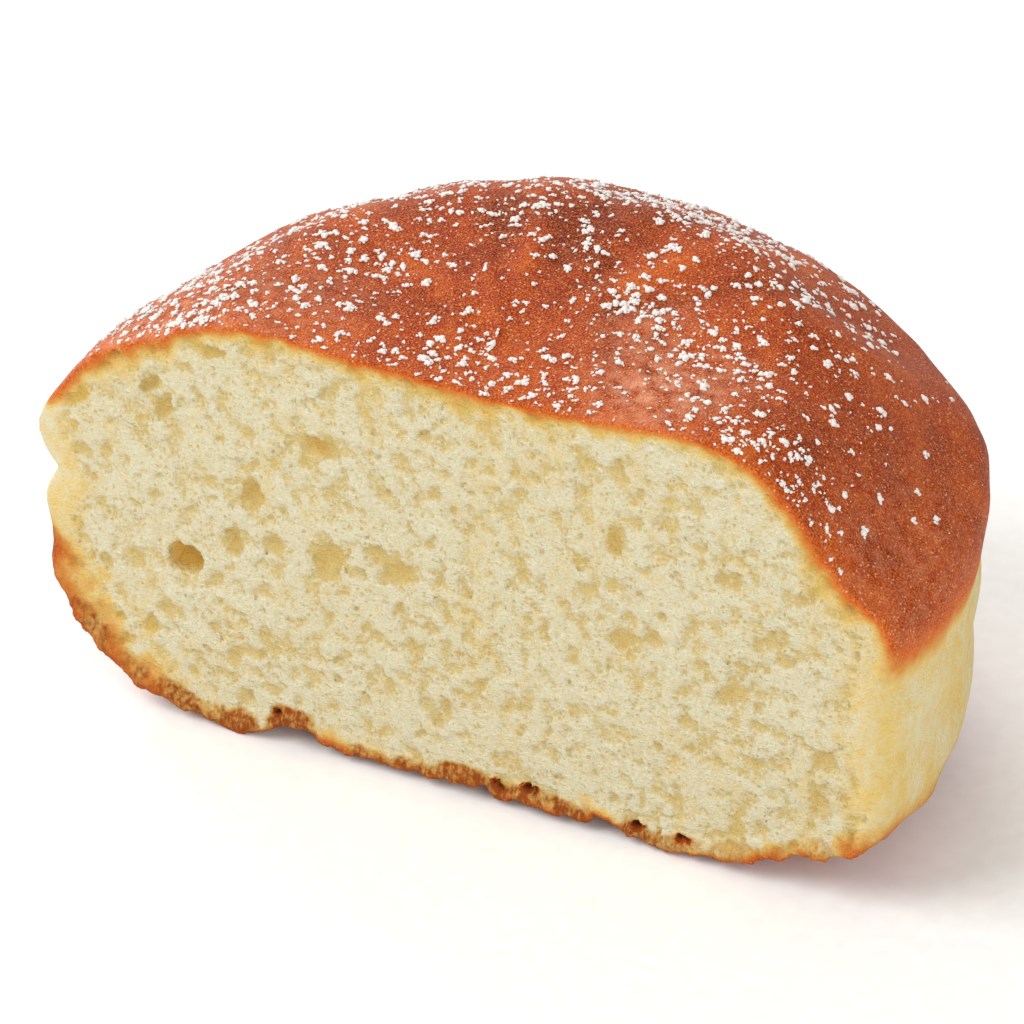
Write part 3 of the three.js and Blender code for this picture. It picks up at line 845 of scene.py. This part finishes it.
def sugar_material(colours):
    """Powdered sugar, milled and caked by damp: a dull white, painted a little darker and creamier in its
    hollows as shade.
    """
    material, add = blank_material("powdered_sugar_milled_and_caked")
    # Milled grains are some hundredths of a millimetre; they are drawn at 0.2 mm, the finest that shows.
    grain = mottle(add, add("TexCoord", output="Object"), 0.2, 2.0)
    white = (*colours.sugar, 1)
    # The grain's hollows are painted a little darker as shade.
    tinted = add("Mix", {0: grain, 6: linear("DACFC7", 1), 7: white}, 2, data_type="RGBA")
    bump = add("Bump", {"Strength": 0.4, "Distance": 0.06 * MM, "Height": grain})
    shader = add("BsdfPrincipled", {"Base Color": tinted, "Roughness": 0.85, "IOR": 1.5,
                                    "Specular IOR Level": 0.3, "Normal": bump})
    add("OutputMaterial", (shader,))
    return material


def floor_material(colours):
    """Matte painted board: an even pale sweep with a very fine roller stipple."""
    material, add = blank_material("matte_painted_board")
    # Roller stipple of about 2 mm.
    stipple = mottle(add, add("TexCoord", output="Object"), 2.0, 2.0)
    paint = (*colours.floor, 1)
    tinted = add("Mix", {0: stipple, 6: paint, 7: linear("F8F8F6", 1)}, 2, data_type="RGBA")
    bump = add("Bump", {"Strength": 0.05, "Distance": 0.1 * MM, "Height": stipple})
    shader = add("BsdfPrincipled", {"Base Color": tinted, "Roughness": 0.9, "Normal": bump})
    add("OutputMaterial", (shader,))
    return material


def new_piece(name, points, faces, material):
    """A mesh piece from points in millimetres about the bun's axis."""
    mesh = bpy.data.meshes.new(name)
    mesh.from_pydata(((points + AXIS) * MM).tolist(), [], [list(map(int, f)) for f in faces])
    mesh.update()
    mesh.shade_smooth()
    mesh.materials.append(material)
    piece = bpy.data.objects.new(name, mesh)
    bpy.context.scene.collection.objects.link(piece)
    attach(piece, BODY)
    return piece


def sugar_chance(p):
    """How likely a large clump lies at a point: more on top and at the back, in uneven drifts."""
    high = ease(p[..., 2], SUGAR_FROM_HEIGHT, SUGAR_FULL_HEIGHT)
    back = np.clip(0.45 + p[..., 1] / 50, 0.2, 1)
    return high * back * np.clip(0.6 + 0.5 * relief(SUGAR_WAVES, p), 0.1, 1)


def dusting(p):
    """How likely fine sugar lies at a point: thin over the whole dome, thicker in drifts."""
    x, y, z = p[..., 0], p[..., 1], p[..., 2]
    high = ease(z, 33, 44)
    right = 1 - 0.75 * ease(x, 22, 42) * (1 - ease(z, 38, 46))
    drift = SUGAR_SPARSE + sum(more * bell(np.hypot(x - at_x, y - at_y), 0, reach)
                               for at_x, at_y, reach, more in SUGAR_DRIFTS)
    return SUGAR_FALL * high * right * drift * np.clip(0.75 + 0.3 * relief(SUGAR_WAVES, p), 0.3, 1)


def patches(p, table):
    """Sum of soft round patches at points."""
    return sum(amount * bell(np.linalg.norm(p - np.array(at), axis=-1), 0, reach)
               for at, reach, amount in table)


def dough_paint(form, p, lobes):
    """How far points are browned and toasted, lie in the crumb or in its pits, and carry sugar film and
    painted sheen.
    """
    x, z = p[:, 0], p[:, 2]
    inside = form.depth(p)
    depth = np.maximum(0, inside)
    left, right = ease(-x, *LEFT_END), ease(x, *RIGHT_END)
    patch = relief(DIMPLE_WAVES, p)
    level = z + 0.7 * relief(DOME_WAVES, p) + 0.35 * patch
    crown, under = CROWN_BORDER - CROWN_FALL * x, UNDER_BORDER - UNDER_FALL * x
    top = ease(level, *(crown + at + more * left for at, more in zip(CROWN_FADE, CROWN_FADE_LEFT)))
    low = 1 - ease(level, *(under + at + more * left for at, more in zip(UNDER_FADE, UNDER_FADE_LEFT)))
    pale = (1 - top) * (1 - low)
    # The crust's own colour.
    near_knife = np.exp(-np.maximum(0, p[:, 1] - form.cut) / KNIFE_REACH)
    # The pleats' share paints shade in their valleys and highlight on their ridges.
    dome = weigh(DOME_TAN_AND_SHADE, 1, patch, near_knife, pleats(p)) + patches(p, TAN_PATCHES)
    base = weigh(UNDER_TAN, 1, left, right, patch)
    skin = np.maximum(weigh(COLLAR_TAN, 1, left), np.maximum(top * dome, low * base))
    # It fades into the crumb, deeper at the ends and ragged all along.
    ragged = np.maximum(0.3, 1 + 0.3 * patch + 0.3 * relief(FOLD_WAVES, p))
    fried = weigh(UNDER_REACH, 1, left, right, bell(x, *UNDER_MIDDLE)) * ragged
    reach = REACH + top * weigh(DOME_REACH, 1, left, right) * ragged + low * fried
    browning = skin * np.exp(-((depth / reach) ** REACH_POWER))
    # A yellow glow lies under the collar's skin, and a golden rim under the crust.
    yolk = YOLK_TAN * pale * bell(depth + 0.8 * patch, 1.2 + 0.9 * left, 3.4 - 0.8 * left)
    yolk = yolk + RIM_TAN * (1 - pale) * np.exp(-depth / RIM_REACH)
    # The rolled edge and the pits above it are browned through.
    rolled = 1 - ease(lobe_gap(p, lobes) + 0.25 * patch, 0.0, 0.6)
    paler = 1 - 0.6 * ease(x, *PALER_FOOT) - 0.3 * left
    browning = np.maximum(np.maximum(browning, yolk), ROLL_TAN * rolled * paler)
    for pit_x, _, pit_z, long, *_ in edge_pits(form):
        away = np.hypot(x - pit_x, z - pit_z)
        browning = np.maximum(browning, PIT_TAN * (1 - ease(away, 0.7 * long, 0.7 * long + 0.25)))
    end = pale * ease(np.abs(x), *COLLAR_ENDS)
    on_cut = 1 - ease(p[:, 1] - form.cut, 0.4, 1.4)
    # Damp sugar leaves a faint film where it lies; the sheen patches add painted highlight over it.
    film_and_sheen = np.maximum(FILM_OVERALL * sugar_chance(p), patches(p, PAINTED_SHEEN_PATCHES))
    return {
        "browning": browning,
        "toast": paler * np.maximum(rolled, low * np.exp(-depth / (0.2 + 0.35 * fried))),
        "crumb": on_cut * ease(depth, 0.2 + 1.8 * end, 0.8 + 3.4 * end),
        "pit": np.maximum(0, -soft_corner(form, p, -inside)),
        "sugar_film_and_sheen": np.where(depth < 0.2, top * film_and_sheen, 0),
    }


def settings(context):
    """The sizes, the colours and the form that they give."""
    sizes = context.scene.beignet_sizes
    return sizes, context.scene.beignet_colours, Form(sizes)


class BEIGNET_OT_bun(bpy.types.Operator):
    """Builds the cut bun: crust, collar, underside and opened crumb in one closed skin"""

    bl_idname = "beignet.bun"
    bl_label = "Bun"

    def execute(self, context):
        sizes, colours, form = settings(context)
        lobes = edge_lobes(form)
        points, quads = crumb_slab(form, sizes, lobes)
        rim = rim_loop(quads)
        used, quads = np.unique(quads, return_inverse=True)
        points = points[used]
        settle_on_crust(form, points, lobes)
        rows, hindmost = crust_rings(form)
        base = len(points)
        points = np.vstack([points, rows.reshape(-1, 3), hindmost])
        faces = quads.reshape(-1, 4).tolist() + ring_faces(base)
        ring = list(range(base, base + AROUND))
        faces += joining_strip(form, points, np.searchsorted(used, rim).tolist(), ring)
        piece = new_piece("beignet_bun", points, faces, dough_material(colours))
        self.clean(piece.data)
        self.lighten(piece)
        self.paint(piece.data, form, lobes)
        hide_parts(NODE)
        return {"FINISHED"}

    @staticmethod
    def clean(mesh):
        """Takes away the flecks of crumb that hang free of the bun, and turns its faces outwards."""
        work = bmesh.new()
        work.from_mesh(mesh)
        left = set(work.verts)
        shells = []
        while left:
            shell = [left.pop()]
            for vert in shell:
                beside = {edge.other_vert(vert) for edge in vert.link_edges} & left
                left -= beside
                shell.extend(beside)
            shells.append(shell)
        shells.sort(key=len)
        bmesh.ops.delete(work, geom=sum(shells[:-1], []), context="VERTS")
        bmesh.ops.recalc_face_normals(work, faces=work.faces)
        work.to_mesh(mesh)
        work.free()

    @staticmethod
    def lighten(piece):
        """Thins the mesh out where it is flattest, to the number of triangles that it may have."""
        triangles = sum(len(f.vertices) - 2 for f in piece.data.polygons)
        thin = piece.modifiers.new("thin", "DECIMATE")
        thin.ratio = min(1, BUN_TRIANGLES / triangles)
        thinned = piece.evaluated_get(bpy.context.evaluated_depsgraph_get())
        old, piece.data = piece.data, bpy.data.meshes.new_from_object(thinned)
        piece.modifiers.remove(thin)
        bpy.data.meshes.remove(old)
        piece.data.name = piece.name

    @staticmethod
    def paint(mesh, form, lobes):
        """Stores what the dough's material reads at each point."""
        p = np.empty(3 * len(mesh.vertices), np.float32)
        mesh.vertices.foreach_get("co", p)
        p = p.reshape(-1, 3).astype(float) / MM - AXIS
        for name, values in dough_paint(form, p, lobes).items():
            layer = mesh.attributes.new(name, "FLOAT", "POINT")
            layer.data.foreach_set("value", np.asarray(values, np.float32))


def ball(detail):
    """Points and triangles of a unit ball: 20 faces, or 80 with one more detail."""
    work = bmesh.new()
    bmesh.ops.create_icosphere(work, subdivisions=detail, radius=1)
    points = np.array([v.co[:] for v in work.verts])
    faces = np.array([[v.index for v in f.verts] for f in work.faces])
    work.free()
    return points, faces


def solid_clumps(form):
    """The largest clumps, where the solid has them: points and sizes."""
    draw = seeded(SUGAR_SEED)
    spots, found = [], []
    while len(found) < SUGAR_CLUMPS:
        # Each try draws a direction, a chance, a size and a number that only the solid uses.
        rows = np.array([(*any_direction(draw), draw(), draw(), draw()) for _ in range(400)])
        p = form.surface(rows[:, :3])
        for row, spot, likely in zip(rows, p, sugar_chance(p)):
            clear = all(np.linalg.norm(t - spot) > SUGAR_APART for t in spots)
            behind = spot[1] > SUGAR_BEHIND_CUT + form.cut
            if clear and behind and row[3] < likely and len(found) < SUGAR_CLUMPS:
                spots.append(spot)
                found.append(SUGAR_MAX - (SUGAR_MAX - SUGAR_MIN) * row[4])
    return np.array(spots), np.array(found)


def scatter(form, count, rng):
    """Points over the dome where sugar fell, as many as asked for."""
    found = np.zeros((0, 3))
    while len(found) < count:
        d = rng.normal(size=(4 * count, 3))
        d /= np.linalg.norm(d, axis=1)[:, None]
        d = d[d[:, 2] > 0.15]
        p = form.surface(d)
        keep = (rng.random(len(p)) < dusting(p)) & (p[:, 1] > form.cut + 0.4)
        found = np.vstack([found, p[keep]])
    return found[:count]


class BEIGNET_OT_sugar_clumps(bpy.types.Operator):
    """Builds the caked clumps of powdered sugar on the dome"""

    bl_idname = "beignet.sugar_clumps"
    bl_label = "Sugar Clumps"

    def execute(self, context):
        sizes, colours, form = settings(context)
        rng = np.random.default_rng(CLUMP_SEED)
        spots, radii = solid_clumps(form)
        more = scatter(form, sizes.clumps - SUGAR_CLUMPS, rng)
        spots = np.vstack([spots, more])
        finer = CLUMP_MIN + CLUMP_SPREAD * rng.random(len(more)) ** CLUMP_POWER
        radii = np.r_[SOLID_CLUMP_CORE * radii, finer]
        rough, smooth = ball(1), ball(2)
        points, faces, total = [], [], 0
        for spot, n, r in zip(spots, form.normal(spots), radii):
            for centre, size in self.lumps(spot, n, r, rng):
                mould, mesh = smooth if size > ROUND_LUMP_FROM else rough
                lump = mould * (size * rng.uniform(0.85, 1.15, (len(mould), 1)))
                lump = lump - CLUMP_FLATNESS * (lump @ n)[:, None] * n
                points.append(lump + centre)
                faces.append(mesh + total)
                total += len(mould)
        new_piece("sugar_clumps", np.vstack(points), np.vstack(faces), sugar_material(colours))
        return {"FINISHED"}

    @staticmethod
    def lumps(spot, n, radius, rng):
        """Centres and sizes of the core and the lumps that make up a clump."""
        side = np.cross(n, (0.3, 0.5, 0.8))
        side /= np.linalg.norm(side)
        other = np.cross(n, side)
        for k in range(2 + int(CLUMP_LUMPS * radius)):
            way = rng.uniform(0, 2 * math.pi)
            off = 0.0 if k == 0 else radius * rng.uniform(0.45, 0.95)
            size = radius * (CLUMP_CORE if k == 0 else rng.uniform(0.28, 0.5))
            yield spot + off * (math.cos(way) * side + math.sin(way) * other) + n * size * CLUMP_RISE, size


class BEIGNET_OT_sugar_specks(bpy.types.Operator):
    """Builds the fine specks of powdered sugar between the clumps"""

    bl_idname = "beignet.sugar_specks"
    bl_label = "Sugar Specks"

    def execute(self, context):
        sizes, colours, form = settings(context)
        rng = np.random.default_rng(SPECK_SEED)
        spots = scatter(form, sizes.specks, rng)
        mould, mesh = ball(1)
        radii = SPECK_MIN + SPECK_SPREAD * rng.random(len(spots)) ** 2
        shapes = mould[None] * (radii[:, None, None] * rng.uniform(0.75, 1.2, (len(spots), len(mould), 1)))
        centres = spots + form.normal(spots) * radii[:, None] * SPECK_RISE
        points = (shapes + centres[:, None, :]).reshape(-1, 3)
        faces = (mesh[None] + (np.arange(len(spots)) * len(mould))[:, None, None]).reshape(-1, 3)
        new_piece("sugar_specks", points, faces, sugar_material(colours))
        return {"FINISHED"}


class BEIGNET_OT_stage(bpy.types.Operator):
    """Sets the floor, the soft studio lights and the camera"""

    bl_idname = "beignet.stage"
    bl_label = "Stage"

    def execute(self, context):
        scene = context.scene
        self.lay_floor(scene)
        self.light(scene)
        self.set_camera(scene)
        scene.view_settings.view_transform = "Standard"
        return {"FINISHED"}

    @staticmethod
    def lay_floor(scene):
        mesh = bpy.data.meshes.new("floor")
        edge = FLOOR_HALF_SIDE
        corners = [(-edge, -edge, 0), (edge, -edge, 0), (edge, edge, 0), (-edge, edge, 0)]
        mesh.from_pydata(corners, [], [(0, 1, 2, 3)])
        mesh.materials.append(floor_material(scene.beignet_colours))
        floor = bpy.data.objects.new("floor", mesh)
        scene.collection.objects.link(floor)

    @staticmethod
    def aim(thing, target):
        thing.rotation_euler = (Vector(target) - thing.location).to_track_quat("-Z", "Y").to_euler()

    def light(self, scene):
        world = bpy.data.worlds.new("soft_room")
        world.use_nodes = True
        background = world.node_tree.nodes["Background"]
        background.inputs["Color"].default_value = (1, 1, 1, 1)
        background.inputs["Strength"].default_value = ROOM_LIGHT
        scene.world = world
        for name, (place, width, power) in SOFTBOXES.items():
            lamp = bpy.data.lights.new(name, "AREA")
            lamp.shape = "DISK"
            lamp.size = width
            lamp.energy = power
            light = bpy.data.objects.new(name, lamp)
            light.location = place
            self.aim(light, LIT_POINT)
            scene.collection.objects.link(light)

    def set_camera(self, scene):
        lens = bpy.data.cameras.new("camera")
        lens.sensor_width = SENSOR_WIDTH
        lens.lens = PIXELS_PER_MM * VIEW_DISTANCE / MM * SENSOR_WIDTH / PICTURE_PIXELS
        lens.shift_x = (PICTURE_PIXELS / 2 - AIM_PIXEL_X) / PICTURE_PIXELS
        lens.shift_y = (AIM_PIXEL_Y - PICTURE_PIXELS / 2) / PICTURE_PIXELS
        lens.clip_start = NEAREST_SEEN
        flat = math.cos(VIEW_ELEVATION)
        rise = math.sin(VIEW_ELEVATION)
        back = Vector((math.sin(VIEW_AZIMUTH) * flat, -math.cos(VIEW_AZIMUTH) * flat, rise))
        middle = Vector((AXIS[0] * MM, AXIS[1] * MM - scene.beignet_sizes.cut_ahead, AIM_HEIGHT))
        camera = bpy.data.objects.new("camera", lens)
        camera.location = middle + VIEW_DISTANCE * back
        self.aim(camera, middle)
        scene.collection.objects.link(camera)
        scene.camera = camera


class BEIGNET_PT_panel(bpy.types.Panel):
    """Lists the beignet's sizes, colours and steps"""

    bl_label = "Cut Beignet"
    bl_idname = "BEIGNET_PT_panel"
    bl_space_type = "VIEW_3D"
    bl_region_type = "UI"
    bl_category = "Beignet"

    def draw(self, context):
        column = self.layout.column(align=True)
        for group in (context.scene.beignet_sizes, context.scene.beignet_colours):
            for name in group.__annotations__:
                column.prop(group, name)
        for step in STEPS:
            column.operator(step.bl_idname)


STEPS = (BEIGNET_OT_stage, BEIGNET_OT_bun, BEIGNET_OT_sugar_clumps, BEIGNET_OT_sugar_specks)
CLASSES = (BeignetSizes, BeignetColours, *STEPS, BEIGNET_PT_panel)


def register():
    for cls in CLASSES:
        bpy.utils.register_class(cls)
    bpy.types.Scene.beignet_sizes = PointerProperty(type=BeignetSizes)
    bpy.types.Scene.beignet_colours = PointerProperty(type=BeignetColours)


def unregister():
    del bpy.types.Scene.beignet_colours
    del bpy.types.Scene.beignet_sizes
    for cls in reversed(CLASSES):
        bpy.utils.unregister_class(cls)


def main():
    register()
    bpy.ops.beignet.stage()
    bpy.ops.beignet.bun()
    bpy.ops.beignet.sugar_clumps()
    bpy.ops.beignet.sugar_specks()


if __name__ == "__main__":
    main()
